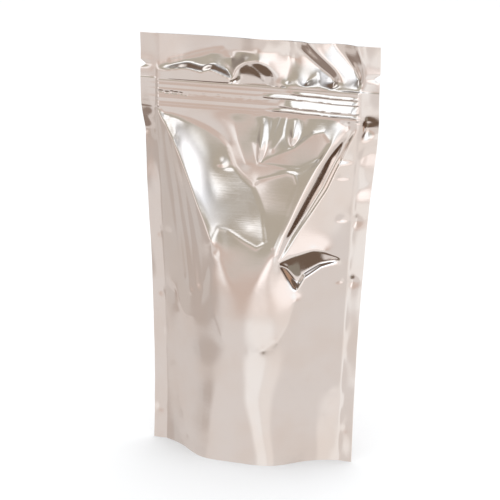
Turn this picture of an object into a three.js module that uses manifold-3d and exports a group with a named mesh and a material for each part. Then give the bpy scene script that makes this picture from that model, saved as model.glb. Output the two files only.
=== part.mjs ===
// Stand-up pouch of metallised film with a press-to-close zip, shut and standing empty but puffed.
// Millimetres, +Z up, the front faces -Y, X runs across the width.
import * as THREE from 'three';
import { mergeVertices } from 'three/addons/utils/BufferGeometryUtils.js';
import Module from 'manifold-3d';

// ---- driving dimensions ----
const POUCH_WIDTH = 130; // the flat film, side edge to side edge
const POUCH_HEIGHT = 225; // resting rim to the top lips
const BASE_WIDTH = 112.8; // the puffed base draws the side edges in to this
const GUSSET_LEG = 35; // the base web, from a rim up to its own centre fold
const SIDE_SEAL = 8.5; // the welded strip down each side
const FILM = 0.5; // wall of one film, drawn thicker than the real 0.12
const RIM = 1.6; // the folded rim that the pouch stands on
const NOTCH_HEIGHT = 208.5; // centre of the tear notches
const NOTCH_SIZE = 3.3; // depth and height of a tear notch
const NOTCH_SHOULDER = 0.35; // share of its depth over which a notch keeps its full height

// ---- the zip ----
const ZIP_LOW = 186.5; // lower edge of the zip flange
const ZIP_HIGH = 200.5; // upper edge of the zip flange
const ZIP_TRACKS = [190.2, 196.2]; // heights of the two ribs
const ZIP_MARGIN = 1; // film above and below the flange that it still spreads
const ZIP_END = 3; // width over which the flange dies out into the side seals
const ZIP_HALF = 0.55; // half the thickness of the flange
const TRACK_RISE = 0.65; // how far a rib stands out of the flange, each side
const TRACK_HALF_HEIGHT = 1.7;
const TRACK_BLEND = 0.6; // share of a rib's half height that its rounded foot takes
const CLEARANCE = 0.3; // air between the zip and the film
const LIP_GAP = 0.35; // between the two top lips
const LIP_END = 2; // width over which the gap closes at the side seals
const LIP_PART = { centre: 8, spread: 13, opening: 2.2, from: 204 }; // the front lip hangs forward here

// ---- the puffed form: half the room between the films ----
// The rim of the base is a bell-shaped curve: a flat front whose flanks run out into the seals.
const RIM_BELL = { depth: 22.6, centre: -2.9, half: 38, power: 5 };
const BODY_DEPTH = 23.5; // the plumb front above the rim
const SIDE_SLOPE = 0.44; // the plane side plates rise from the seals at this slope
const SIDE_ROUND = { amount: 0.62, from: 10 }; // and round over towards the middle lower down
const HANG = { slope: 0.238, hold: 1 }; // the collapsed film hangs in to the zip in one plane
const SHOULDER = { height: 119, slope: 0.122 }; // below this the collapse turns into a shoulder
const BASE_RISE = { from: 5, to: 85 }; // heights over which the rim's bell melts into the body
const FRONT_BLEND = 2; // rounding where the hang, the shoulder and the plumb front meet
const PLATE_BLEND = { low: 12, high: 3, from: 50, run: 60 }; // rounding of the side plates' inner edges

// ---- folds of the films; the two films carry them mirrored ----
// Both ridges of the V-shaped collapse run from the shoulder up to the ends of the zip.
const RIDGE = { foot: 112, footAcross: 19, top: 176, topAcross: 50 };
const DENT = { from: 120, to: 184, footShare: 0.75, topShare: 0.2, steep: 0.8, flat: 1.6, sag: 0.8 };
const GROOVE = { from: 110, to: 186, half: 3.2, reach: 9, opens: 20, closes: 10 };
const FOLD_FADE = { zip: 6, seal: 4 }; // folds die out over this below the zip and beside the seals
const LEAST_ROOM = 0.8; // no fold brings a film nearer to the mid sheet than this
const LEAST_BLEND = 0.5;
const FLAT_ROOM = 0.01; // films nearer than this lie together, with no folds
const FRONT_FOLDS = {
  mirror: 1,
  dentDepth: 3.2,
  grooveDepth: 3.2,
  hollow: { depth: 3.4, slope: 0.6, blend: 4,
    corners: [[20, 110], [31, 98], [42, 107], [53, 112], [46, 118], [36, 119]] },
  tucks: [
    { height: 1.1, half: 3.6, from: [4.5, 190], to: [4, 160] },
    { height: 1.1, half: 3.6, from: [21.5, 190], to: [21, 168] },
    { height: 0.9, half: 5, from: [4, 161], to: [42, 178] },
  ],
};
const BACK_FOLDS = {
  mirror: -1,
  dentDepth: 3.4,
  grooveDepth: 2.4,
  hollow: { depth: 2.6, slope: 0.5, blend: 4,
    corners: [[-53, 112], [-38, 100], [-22, 110], [-37, 120]] },
  tucks: [{ height: 1, half: 4, from: [-2, 190], to: [-2, 164] }],
};

// ---- ripples that both films of the header share ----
const HEADER_CALM = 5; // they grow over this height above the zip
const HEADER_RIPPLES = [
  { height: 2.0, half: 4, from: [-58, 208], to: [4, 207] },
  { height: 1.3, half: 4, from: [20, 226], to: [46, 206] },
  { height: -0.8, half: 4, from: [32, 228], to: [57, 207] },
  { height: -1, half: 5, from: [-4, 215], to: [10, 205] },
];
const FADE = 0.25; // share of a ridge's length over which either end dies out

// ---- side seals: each foot steps a little forward ----
const TOE = { left: 2.3, right: 1, height: 60, from: 30, run: 25 };

// ---- grid over the flat film ----
const PANEL_COLUMNS = 32;
const SEAL_COLUMNS = 2;
const BODY_ROWS = 41;
const HEADER_ROWS = 6;
const RIDGE_SHARE = 0.625; // the grid column that follows the ridges of the collapse
const GRID_CALM = { low: 90, high: 205 }; // the columns are evenly spaced below and above this
const VAULT_COLUMNS = 24;
const VAULT_REACH = 0.78; // share of the half width that the arch under the base takes
const VAULT_STEPS = 4; // facets up each slope of the arch
const VAULT_DROP = 3; // the arch's fold hangs this far below the height of a taut web
const VAULT_BOW = 1.15; // over 1: the web bows up between its rim and its fold
const BELOW_FLOOR = 2; // cutting bodies start this far below or end this far above the pouch
const WELD = 1e-5; // corners nearer than this are one

const SEAL_INNER = POUCH_WIDTH / 2 - SIDE_SEAL;

// ---- small helpers ----
const clamp01 = (t) => Math.min(1, Math.max(0, t));

const ease = (t) => {
  const k = clamp01(t);
  return k * k * (3 - 2 * k);
};

const mix = (a, b, t) => a + (b - a) * t;

const softMin = (a, b, r) => Math.min(a, b) - Math.max(r - Math.abs(a - b), 0) ** 2 / (4 * r);

const softMax = (a, b, r) => -softMin(-a, -b, r);

function steps(from, to, count) {
  return Array.from({ length: count + 1 }, (_, i) => mix(from, to, i / count));
}

// Signed distance of a place on the film to the left of a line, and how far along the line it is.
function beside(u, z, [u0, z0], [u1, z1]) {
  const run = Math.hypot(u1 - u0, z1 - z0);
  return {
    off: ((u1 - u0) * (z - z0) - (z1 - z0) * (u - u0)) / run,
    along: ((u - u0) * (u1 - u0) + (z - z0) * (z1 - z0)) / run ** 2,
  };
}

// Depth that a hollow takes out of the film: nothing outside its corners, a plain slope inside its
// edges, levelling off at its full depth.
function hollowAt(u, z, { corners, depth, slope, blend }) {
  const inside = corners
    .map((corner, i) => beside(u, z, corner, corners[(i + 1) % corners.length]).off)
    .reduce((least, off) => softMin(least, off, blend));
  return depth * (1 - Math.exp((-slope * Math.max(0, inside)) / depth));
}

// Height of a soft ridge along a line, fading out at both ends.
function ridgeAt(u, z, ridge) {
  const { off, along } = beside(u, z, ridge.from, ridge.to);
  const ends = ease(along / FADE) * ease((1 - along) / FADE);
  return ridge.height * ends * Math.exp(-((off / ridge.half) ** 2));
}

const ridgesAt = (ridges, u, z) => ridges.reduce((total, ridge) => total + ridgeAt(u, z, ridge), 0);

// ---- the pouch's form ----
const rise = (z) => clamp01(z / ZIP_LOW);

const widthAt = (z) => mix(BASE_WIDTH, POUCH_WIDTH, rise(z) ** 2);

const acrossAt = (u, z) => (u * widthAt(z)) / POUCH_WIDTH;

// The rim's curve, which meets the mid sheet at the inner edges of the seals.
function bellAt(u) {
  const { depth, centre, half, power } = RIM_BELL;
  const bell = (at) => depth / (1 + (Math.abs(at - centre) / half) ** power);
  const end = bell(u < 0 ? -SEAL_INNER : SEAL_INNER);
  return Math.max(0, ((bell(u) - end) * depth) / (depth - end));
}

// Half the room between the films, with no folds in them.
function puffAt(u, z) {
  const side = clamp01(Math.abs(u) / SEAL_INNER);
  const up = (z - SIDE_ROUND.from) / (SHOULDER.height - SIDE_ROUND.from);
  const round = 1 + SIDE_ROUND.amount * (1 - ease(up));
  const plates = SIDE_SLOPE * SEAL_INNER * (1 - side ** round);
  const hang = HANG.hold + HANG.slope * (ZIP_LOW - z);
  const shoulderDepth = HANG.hold + HANG.slope * (ZIP_LOW - SHOULDER.height);
  const shoulder = shoulderDepth + SHOULDER.slope * (SHOULDER.height - z);
  const front = softMin(softMin(hang, shoulder, FRONT_BLEND), BODY_DEPTH, FRONT_BLEND);
  const blend = mix(PLATE_BLEND.low, PLATE_BLEND.high, ease((z - PLATE_BLEND.from) / PLATE_BLEND.run));
  const body = softMin(plates, front, blend);
  return mix(bellAt(u), body, ease((z - BASE_RISE.from) / (BASE_RISE.to - BASE_RISE.from)));
}

// How far from the centre line the ridges of the collapse stand at a height.
function ridgeAcross(z) {
  const up = clamp01((z - RIDGE.foot) / (RIDGE.top - RIDGE.foot));
  return mix(RIDGE.footAcross, RIDGE.topAcross, up);
}

// The long dent along one ridge of the collapse: steep at the ridge, running out gently.
function dentAt(u, z, depth) {
  const ridge = ridgeAcross(z);
  const up = clamp01((z - DENT.from) / (DENT.to - DENT.from));
  const share = (u + ridge) / (2 * ridge) / mix(DENT.footShare, DENT.topShare, up);
  if (share <= 0 || share >= 1) return 0;
  const peak = DENT.steep / (DENT.steep + DENT.flat);
  const shape = (t) => t ** DENT.steep * (1 - t) ** DENT.flat;
  return (depth * Math.sin(Math.PI * up ** DENT.sag) * shape(share)) / shape(peak);
}

// The deep crease inside the other ridge.
function grooveAt(u, z, depth) {
  const inside = ridgeAcross(z) - u;
  const run = ease((z - GROOVE.from) / GROOVE.opens) * ease((GROOVE.to - z) / GROOVE.closes);
  return depth * run * ease(inside / GROOVE.half) * (1 - ease((inside - GROOVE.half) / GROOVE.reach));
}

// Half thickness of the zip strip at a height: flange with two ribs.
function zipAt(z) {
  const ribs = ZIP_TRACKS.map((track) => ease((1 - Math.abs(z - track) / TRACK_HALF_HEIGHT) / TRACK_BLEND));
  return ZIP_HALF + TRACK_RISE * Math.max(...ribs);
}

// The zip holds the films apart over its flange and dies out into the side seals.
function zipRoom(u, z) {
  const ends = ease((SEAL_INNER - Math.abs(u)) / ZIP_END);
  const band = ease((z - ZIP_LOW) / ZIP_MARGIN + 1) * ease((ZIP_HIGH - z) / ZIP_MARGIN + 1);
  return (zipAt(z) + CLEARANCE) * ends * band;
}

// The sheet midway between the films: flat but for the header's ripples and the seals' feet.
function middleAt(u, z) {
  const ripples = ease((z - ZIP_HIGH - ZIP_MARGIN) / HEADER_CALM) * ridgesAt(HEADER_RIPPLES, u, z);
  const foot = u < 0 ? TOE.left : TOE.right;
  const toe = foot * (1 - clamp01(z / TOE.height)) ** 2 * ease((Math.abs(u) - TOE.from) / TOE.run);
  return -ripples - toe;
}

function foldRoom(u, z, folds) {
  const room = puffAt(u, z);
  if (room < FLAT_ROOM) return 0;
  const across = u * folds.mirror;
  const taken = dentAt(across, z, folds.dentDepth)
    + grooveAt(across, z, folds.grooveDepth)
    + hollowAt(u, z, folds.hollow)
    - ridgesAt(folds.tucks, u, z);
  const fade = ease((ZIP_LOW - z) / FOLD_FADE.zip) * ease((SEAL_INNER - Math.abs(u)) / FOLD_FADE.seal);
  return softMax(room - taken * fade, Math.min(room, LEAST_ROOM), LEAST_BLEND);
}

function lipRoom(u, z, opening) {
  const inside = ease((SEAL_INNER - Math.abs(u)) / LIP_END);
  const across = (u - LIP_PART.centre) / LIP_PART.spread;
  const up = clamp01((z - LIP_PART.from) / (POUCH_HEIGHT - LIP_PART.from));
  return inside * (LIP_GAP / 2 + opening * up * up * Math.exp(-across * across));
}

// Room between the middle sheet and the inside of each film.
function roomAt(u, z, folds, opening) {
  if (z < ZIP_LOW - ZIP_MARGIN) return foldRoom(u, z, folds);
  return Math.max(zipRoom(u, z), lipRoom(u, z, opening));
}

const frontRoom = (u, z) => roomAt(u, z, FRONT_FOLDS, LIP_PART.opening);

const backRoom = (u, z) => roomAt(u, z, BACK_FOLDS, 0);

// Draws the grid's columns aside so that one of them runs along each ridge of the collapse.
function followRidge(u, z) {
  const even = RIDGE_SHARE * SEAL_INNER;
  const calm = ease((z - GRID_CALM.low) / (RIDGE.foot - GRID_CALM.low))
    * ease((GRID_CALM.high - z) / (GRID_CALM.high - ZIP_LOW));
  const knot = mix(even, ridgeAcross(z), calm);
  const off = Math.abs(u);
  if (off >= SEAL_INNER) return u;
  const drawn = off < even
    ? (off * knot) / even
    : mix(knot, SEAL_INNER, (off - even) / (SEAL_INNER - even));
  return Math.sign(u) * drawn;
}

// ---- solids ----
function geometryFrom(positions, index) {
  const geometry = new THREE.BufferGeometry();
  geometry.setAttribute('position', new THREE.Float32BufferAttribute(positions, 3));
  geometry.setIndex(index);
  return geometry;
}

// A closed slab between a front and a back sheet, both over the same grid of the flat film.
function slab(columns, rows, placeAt, frontY, backY) {
  const positions = [];
  const index = [];
  const row = columns.length;
  const sheet = row * rows.length;
  [frontY, backY].forEach((depthAt) => {
    rows.forEach((z) => {
      columns.forEach((column) => {
        const u = placeAt(column, z);
        positions.push(acrossAt(u, z), depthAt(u, z), z);
      });
    });
  });
  const quad = (a, b, c, d) => index.push(a, b, c, a, c, d);
  for (let j = 0; j + 1 < rows.length; j += 1) {
    for (let i = 0; i + 1 < row; i += 1) {
      const a = j * row + i;
      quad(a, a + 1, a + 1 + row, a + row);
      quad(sheet + a + 1, sheet + a, sheet + a + row, sheet + a + 1 + row);
    }
    const left = j * row;
    const right = left + row - 1;
    quad(sheet + left, left, left + row, sheet + left + row);
    quad(right, sheet + right, sheet + right + row, right + row);
  }
  const top = (rows.length - 1) * row;
  for (let i = 0; i + 1 < row; i += 1) {
    quad(sheet + i, sheet + i + 1, i + 1, i);
    quad(top + i, top + i + 1, sheet + top + i + 1, sheet + top + i);
  }
  return geometryFrom(positions, index);
}

// The arch under the base: the web folds up from both rims to its centre fold. Its leg keeps its
// length, so the arch is highest beside the seals and lowest at the middle.
function archGeometry() {
  const positions = [];
  const index = [];
  const reach = SEAL_INNER * VAULT_REACH;
  const columns = steps(-reach, reach, VAULT_COLUMNS);
  const heights = [-BELOW_FLOOR / GUSSET_LEG, ...steps(0, 1, VAULT_STEPS)];
  const near = heights.map((share) => [-1, share]);
  const far = heights.slice(0, -1).reverse().map((share) => [1, share]);
  const profile = [...near, ...far];
  columns.forEach((u) => {
    const half = puffAt(u, 0) + FILM;
    const crest = Math.sqrt(GUSSET_LEG ** 2 - half ** 2) - VAULT_DROP;
    profile.forEach(([side, share]) => {
      const z = share < 0 ? -BELOW_FLOOR : crest * share;
      const y = side * Math.max(0, half - RIM) * (1 - Math.max(0, share) ** VAULT_BOW);
      positions.push(acrossAt(u, z), y + middleAt(u, 0), z);
    });
  });
  const ring = profile.length;
  for (let i = 0; i + 1 < columns.length; i += 1) {
    for (let k = 0; k < ring; k += 1) {
      const a = i * ring + k;
      const b = i * ring + ((k + 1) % ring);
      index.push(a, a + ring, b + ring, a, b + ring, b);
    }
  }
  const last = (columns.length - 1) * ring;
  for (let k = 1; k + 1 < ring; k += 1) {
    index.push(0, k, k + 1);
    index.push(last, last + k + 1, last + k);
  }
  return geometryFrom(positions, index);
}

// A tear notch: a wedge cut in from the side edge.
function notchGeometry(side) {
  const shape = new THREE.Shape();
  const edge = POUCH_WIDTH / 2;
  const shoulder = edge - NOTCH_SIZE * NOTCH_SHOULDER;
  const low = NOTCH_HEIGHT - NOTCH_SIZE / 2;
  const high = NOTCH_HEIGHT + NOTCH_SIZE / 2;
  shape.moveTo(side * (edge + BELOW_FLOOR), low);
  shape.lineTo(side * shoulder, low);
  shape.lineTo(side * (edge - NOTCH_SIZE), NOTCH_HEIGHT);
  shape.lineTo(side * shoulder, high);
  shape.lineTo(side * (edge + BELOW_FLOOR), high);
  const through = POUCH_WIDTH / 4;
  const geometry = new THREE.ExtrudeGeometry(shape, { depth: through, bevelEnabled: false });
  geometry.rotateX(Math.PI / 2);
  geometry.translate(0, through / 2, 0);
  return geometry;
}

const wasm = await Module();
wasm.setup();

function solidFrom(geometry) {
  const bare = geometry.index ? geometry.toNonIndexed() : geometry.clone();
  bare.deleteAttribute('normal');
  bare.deleteAttribute('uv');
  const merged = mergeVertices(bare, WELD);
  return new wasm.Manifold(new wasm.Mesh({
    numProp: 3,
    vertProperties: new Float32Array(merged.attributes.position.array),
    triVerts: new Uint32Array(merged.index.array),
  }));
}

function geometryOf(solid) {
  const mesh = solid.getMesh();
  return geometryFrom(mesh.vertProperties, Array.from(mesh.triVerts));
}

const panelColumns = steps(-SEAL_INNER, SEAL_INNER, PANEL_COLUMNS);
const sealColumns = steps(SEAL_INNER, POUCH_WIDTH / 2, SEAL_COLUMNS).slice(1);
const filmColumns = [...sealColumns.map((u) => -u).reverse(), ...panelColumns, ...sealColumns];
const trackRows = ZIP_TRACKS.flatMap((track) => {
  const foot = TRACK_HALF_HEIGHT;
  const brow = TRACK_HALF_HEIGHT * (1 - TRACK_BLEND);
  return [track - foot, track - brow, track + brow, track + foot];
});
const zipRows = [ZIP_LOW, ...trackRows, ZIP_HIGH];
const headerRows = steps(ZIP_HIGH + ZIP_MARGIN, POUCH_HEIGHT, HEADER_ROWS);
const filmRows = [...steps(0, ZIP_LOW - ZIP_MARGIN, BODY_ROWS), ...zipRows, ...headerRows];

function pouchGeometry() {
  const outside = solidFrom(slab(
    filmColumns,
    filmRows,
    followRidge,
    (u, z) => middleAt(u, z) - frontRoom(u, z) - FILM,
    (u, z) => middleAt(u, z) + backRoom(u, z) + FILM,
  ));
  const mouthRows = [...zipRows, ...headerRows.slice(0, -1), POUCH_HEIGHT + BELOW_FLOOR];
  const mouthColumns = panelColumns.slice(1, -1);
  const mouth = solidFrom(slab(
    mouthColumns,
    mouthRows,
    followRidge,
    (u, z) => middleAt(u, Math.min(z, POUCH_HEIGHT)) - frontRoom(u, Math.min(z, POUCH_HEIGHT)),
    (u, z) => middleAt(u, Math.min(z, POUCH_HEIGHT)) + backRoom(u, Math.min(z, POUCH_HEIGHT)),
  ));
  return geometryOf(outside
    .subtract(mouth)
    .subtract(solidFrom(archGeometry()))
    .subtract(solidFrom(notchGeometry(-1)))
    .subtract(solidFrom(notchGeometry(1))));
}

function zipGeometry() {
  const rows = [ZIP_LOW + CLEARANCE, ...trackRows, ZIP_HIGH - CLEARANCE];
  const columns = panelColumns.slice(2, -2);
  const straight = (u) => u;
  return slab(
    columns,
    rows,
    straight,
    (u, z) => middleAt(u, z) - zipAt(z),
    (u, z) => middleAt(u, z) + zipAt(z),
  );
}

// ---- materials and meshes ----
const foil = new THREE.MeshStandardMaterial({ color: 0xd2c6bf, roughness: 0.16, metalness: 1 });
const zipPlastic = new THREE.MeshStandardMaterial({ color: 0xe4e2df, roughness: 0.35, metalness: 0 });

function piece(name, geometry, material) {
  const mesh = new THREE.Mesh(geometry, material);
  mesh.name = name;
  return mesh;
}

const pouch = new THREE.Group();
pouch.add(piece('pouch', pouchGeometry(), foil));
pouch.add(piece('zip_strip', zipGeometry(), zipPlastic));

// The origin is the middle of the footprint of the whole, on the surface it stands on.
const box = new THREE.Box3().setFromObject(pouch);
const centre = box.getCenter(new THREE.Vector3());
pouch.position.set(-centre.x, -centre.y, -box.min.z);
pouch.updateMatrixWorld(true);

export default pouch;
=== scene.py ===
import math

import bmesh
import bpy
import numpy as np
from bpy.props import FloatProperty, FloatVectorProperty, PointerProperty
from mathutils import Matrix, Vector


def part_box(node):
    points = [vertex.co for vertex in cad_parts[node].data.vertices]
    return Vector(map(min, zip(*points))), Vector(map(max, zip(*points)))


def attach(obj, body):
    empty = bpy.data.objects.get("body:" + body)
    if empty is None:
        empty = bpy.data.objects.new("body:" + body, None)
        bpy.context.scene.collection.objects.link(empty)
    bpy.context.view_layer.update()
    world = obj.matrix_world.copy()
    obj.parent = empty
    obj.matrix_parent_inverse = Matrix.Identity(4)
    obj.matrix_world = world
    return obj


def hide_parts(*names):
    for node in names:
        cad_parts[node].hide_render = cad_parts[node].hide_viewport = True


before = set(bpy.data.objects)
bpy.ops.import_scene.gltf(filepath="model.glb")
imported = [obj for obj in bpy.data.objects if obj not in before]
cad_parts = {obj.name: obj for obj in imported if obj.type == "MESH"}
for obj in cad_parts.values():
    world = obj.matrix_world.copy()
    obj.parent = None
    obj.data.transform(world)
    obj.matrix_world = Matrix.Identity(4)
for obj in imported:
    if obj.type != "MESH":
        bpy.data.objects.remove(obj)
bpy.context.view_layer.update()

bl_info = {
    "name": "Stand-up Zip Pouch",
    "version": (1, 0, 0),
    "blender": (4, 5, 0),
    "location": "View3D > Sidebar > Pouch",
    "description": "Builds a metallised stand-up pouch with its zip, and a small photo studio for it",
    "category": "Add Mesh",
}

POUCH_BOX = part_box("pouch")
MM = 0.001

# ---- Driving dimensions of the film, in millimetres ----
# "across" and "up" are places on the flat film: across from its centre line, up from the standing rim.
POUCH_WIDTH = (POUCH_BOX[1][0] - POUCH_BOX[0][0]) / MM
POUCH_HEIGHT = (POUCH_BOX[1][2] - POUCH_BOX[0][2]) / MM
BASE_WIDTH = 112.8  # the puffed base draws the side edges in to this
RIM_DEPTH = 23.0  # mid sheet to the rim, at the middle of either film
BELL_CENTRE = -2.9  # the rim's bell-shaped curve: its middle and half width
BELL_HALF = 38.0
BELL_POWER = 5.0
BELL_POWER_LOSS = 1.5  # the bell grows softer and moves to the left with height
BELL_SHIFT = 3.0
BELL_CHANGE = 40.0
SIDE_SEAL = 8.5
SEAL_INNER = POUCH_WIDTH / 2 - SIDE_SEAL
ZIP_LOW = 186.5
ZIP_HIGH = 200.5
GUSSET_LEG = 35.0
NOTCH_UP = 208.5
NOTCH_SIZE = 3.3
CREASE_FALL = 0.238  # how steeply the film hangs in from the bulge to the zip
ZIP_HOLD = 1.0  # the zip holds each film this far off the mid sheet
HANG_BLEND = 1.5
SHOULDER_UP = 119.0  # below this height the film hangs less steeply
SHOULDER_ROOM = 17.1
SHOULDER_FALL = 0.122
BELLY_ROOM = 23.9  # most room under one film
SIDE_RISE = 25.5  # room where a film's two side planes would meet
SIDE_LIMIT = 1.5
RIDGE_ROUND = 0.06  # share of the half width over which they are rounded together
BULGE_LOW = 1.7  # power of the side planes' bulge at the rim, and how much of it goes
BULGE_LOSS = 0.66
BLEND_LOW = 14.0  # rounding between the side planes and the hanging one
BLEND_LOSS = 12.0
RIM_LIP = 0.25  # the rim of the base web is this wide
WEB_SAG = 2.0
WEB_ROWS = 31
FOLD_ROUND = 0.1
TOE_LEFT = 2.3  # the feet of the side seals splay forward by this
TOE_RIGHT = 1.0
LIP_ROOM = 0.18
LEAST_ROOM = 0.5
MERGE_REACH = 0.012
FILM_SHARP_DEG = 60  # edges turning by more than this stay sharp
ZIP_SHARP_DEG = 40
COARSE_TO_FINE = (5, 2, 1)
CREASE_STEP = 0.6  # share of a grid cell between two points of a crease
CREASE_PIN = 40.0  # how firmly the creases hold the film
RIPPLE_WAVES = 9

# The front film's folds. Every point is across, up, and how far out from the mid sheet. Joints are
# the points where creases meet.
FRONT_JOINTS = {
    "zip_left": (-55, 184.5, 0.8),
    "collapse_left": (-20, 120, 17.3),
    "kite_left": (1, 149.5, 6.8),
    "kite_foot_left": (12, 121.5, 16),
    "slat_low_left": (3.5, 161.3, 5.9),
    "slit_foot": (10.5, 169, 4.9),
    "valley_end": (20, 113, 17.2),
    "step_left": (20.5, 111, 17),
    "shelf_tip": (30, 97, 14.4),
    "plate_end_right": (-32, 78, 15.4),
    "corner_high": (-53, 42, 1.9),
    "bay_low": (-5, 64.5, 23.6),
}
FRONT_CREASES = {
    "left ridge": ["zip_left", (-43, 166, 7), (-29, 137, 13.8), "collapse_left"],
    "left ridge foot": ["collapse_left", (-16.5, 113.5, 17.9)],
    "sill": [
        "zip_left", (-36, 180, 1), (-27, 177, 1.1), (-20, 173.5, 1.5), (-15, 169, 2.2),
        (-14, 165, 3), (-10, 158, 4.5), (-4, 152.5, 6), "kite_left",
    ],
    "kite left": ["kite_left", (4, 144, 8.3), (8, 137, 10.5), (9.5, 130, 12.9), "kite_foot_left"],
    "collapse foot": [
        "collapse_left", (-17, 127, 15.2), (-11, 126.3, 14.9), (-1, 121.5, 16.1), (7, 118.6, 16.9),
        "kite_foot_left",
    ],
    "kite right": [
        "kite_left", (3.5, 152.5, 7.2), (20, 158, 7.4), (24.5, 157.5, 7.9), (26.5, 152.5, 9),
        (22, 136, 12.7), (16.5, 120, 16.9),
    ],
    "slat": [
        "slat_low_left", (14, 166.5, 5.4), (23, 171, 4.7), (32, 178.5, 3.4), (38, 180, 2.9),
        (42, 175, 3.6), (37, 166, 5.4), (26, 160, 6.9), "slat_low_left",
    ],
    "tuck left": [(1.2, 186, 0.8), (0, 172, 3.9), "slat_low_left"],
    "tuck right": [(7.6, 186, 0.8), (9.2, 174, 3.6), "slat_low_left"],
    "tuck crest": [
        (4.5, 186, 0.9), (4.5, 181, 2.7), (4.3, 169, 6), (4, 163.5, 6.4), "slat_low_left",
    ],
    "slit left": [(13, 186, 0.9), (10.3, 178, 2.8), "slit_foot"],
    "slit right": [(16.2, 186, 0.9), (15.4, 177, 3.2), "slit_foot"],
    "pleat": [(18.8, 186, 0.8), (17, 179, 2.4), (21, 172, 4.4), (26.5, 178, 2.6), (24.5, 186, 0.8)],
    "pleat crest": [(21.5, 186, 0.9), (21.5, 182, 2.6), (21.7, 175.5, 5), (21.2, 172.6, 4.7)],
    "roll": [
        (46, 184.5, 0.9), (42.5, 174, 4.2), (36, 162, 7.2), (31.5, 151, 9.7), (26.8, 139, 12.3),
        (21.6, 125, 15.4), (19, 115, 17.8),
    ],
    "fall": [
        (50, 184.5, 0.3), (46.3, 174.5, 2.5), (38.2, 162, 6.5), (33.6, 150, 9), (28.6, 139, 11.7),
        (22.7, 125, 15), "valley_end",
    ],
    "valley": [
        (55, 184.5, 0.8), (49.3, 175, 0.2), (44.5, 163.5, 1), (39.5, 151, 3.5), (33.3, 139, 7.2),
        (25.4, 125, 12.2), "valley_end",
    ],
    "edge": [
        (56, 185, 0.5), (51.5, 175.5, 1.7), (47.5, 165, 3.1), (42.5, 151, 5.7), (35.5, 139, 8.7),
        (27, 125, 12.9), (21, 112, 17.2),
    ],
    "strap": [(-12, 185, 1.2), (-9.5, 172, 3.5), (-4, 160, 5.7), "slat_low_left"],
    "pocket step": [
        "step_left", (26, 114.8, 14.8), (38, 118.9, 10.4), (44, 117.8, 7.7), (52, 112.5, 2.2),
    ],
    "pocket floor": [
        "step_left", (23.5, 108.4, 13.6), (26.8, 103.2, 11.9), (30, 98.7, 11.2), (33, 105, 9.3),
        (41.5, 110.5, 5.8), (49.5, 112.3, 1.8),
    ],
    "pocket brim": [
        "step_left", (22.3, 107.6, 16.2), (25.2, 102.6, 15.3), "shelf_tip", (33.8, 104.2, 12),
        (42, 109.7, 7.4), (50, 111.9, 2.4),
    ],
    "pocket shelf": ["step_left", (25.8, 103.4, 14.4), "shelf_tip"],
    "plate end": [
        (-54, 91, 1.3), (-47, 91, 6), (-44, 82, 8.8), (-38, 76.5, 12.8), "plate_end_right",
        (-27, 87, 16.3), (-24, 101, 16.2), "collapse_left",
    ],
    "sliver": [
        (-54.5, 89, 1), (-49, 86, 3.9), (-45.5, 76, 7.6), (-46, 60, 6.9), (-50, 47, 3.6),
        "corner_high",
    ],
    "corner": ["corner_high", (-50, 38, 3.4), (-47, 28, 4.2), (-44, 20, 6.2), (-38, 8, 11.4)],
    "left swell": [(-40, 135, 8.6), (-35, 90, 13.3)],
    "left flank": ["plate_end_right", (-30, 60, 16.6), (-31, 30, 16.6), (-32, 8, 16.9)],
    "bay": [
        "collapse_left", (-20, 108, 17.6), (-19.5, 92, 19.4), (-17, 80, 21.2), (-12, 70, 22.8),
        "bay_low", (5, 63.5, 23.6), (14, 65, 22.9), (22, 70, 20.6), (28, 80, 17.6),
        (30.5, 92, 15.6), "shelf_tip",
    ],
    "keel": ["bay_low", (-2, 45, 23.7), (0, 20, 23.4)],
}

# Small dents: across, up, half width, half height, depth.
FRONT_PITS = [
    (51.5, 134.5, 2.4, 1.8, 0.55),
    (52.5, 101, 1.8, 1.5, 0.4),
    (49, 166, 4, 2.6, 0.7),
    (50, 157, 3, 2, 0.4),
    (-18, 159, 2.6, 2.2, -0.45),
    (-14, 157.5, 3, 1.6, 0.25),
    (2, 130, 2.6, 3.5, 0.06),
    (-17, 116, 2.4, 5, 0.25),
    (36, 84, 3.5, 4, 0.06),
    (45, 70, 3.5, 2.5, 0.07),
    (-43, 96, 6, 6, 0.25),
    (50, 40, 4, 1.6, 0.15),
    (-52, 118, 2.5, 1.5, 0.25),
    (32, 106, 3, 4, -0.35),
]

# Creases of the front film that also stand up as a fine line.
FRONT_SHARP = (
    "sill", "kite left", "kite right", "slat", "tuck left", "tuck right", "slit left",
    "slit right", "pleat", "left ridge", "collapse foot",
)
SHARP_RISE = 0.13
SHARP_HALF = 0.75

# Shallow flutes down the left of the front film.
FRONT_FLUTES = {
    "first": [(-51, 182), (-48, 150), (-44, 120), (-41, 98)],
    "second": [(-48.5, 179), (-42, 148), (-37, 118), (-34, 93)],
    "third": [(-44, 170), (-35.5, 142), (-30, 115), (-28, 96)],
}
FLUTE_DEPTH = 0.30
FLUTE_HALF = 2.4

# Soft hollows between the creases: across, up, half width, half height, strength.
FRONT_HOLLOWS = [
    (-32, 153, 11, 14, 0.045),
    (0, 136, 5, 9, 0.012),
    (-38, 168, 8, 8, 0.03),
]

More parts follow.
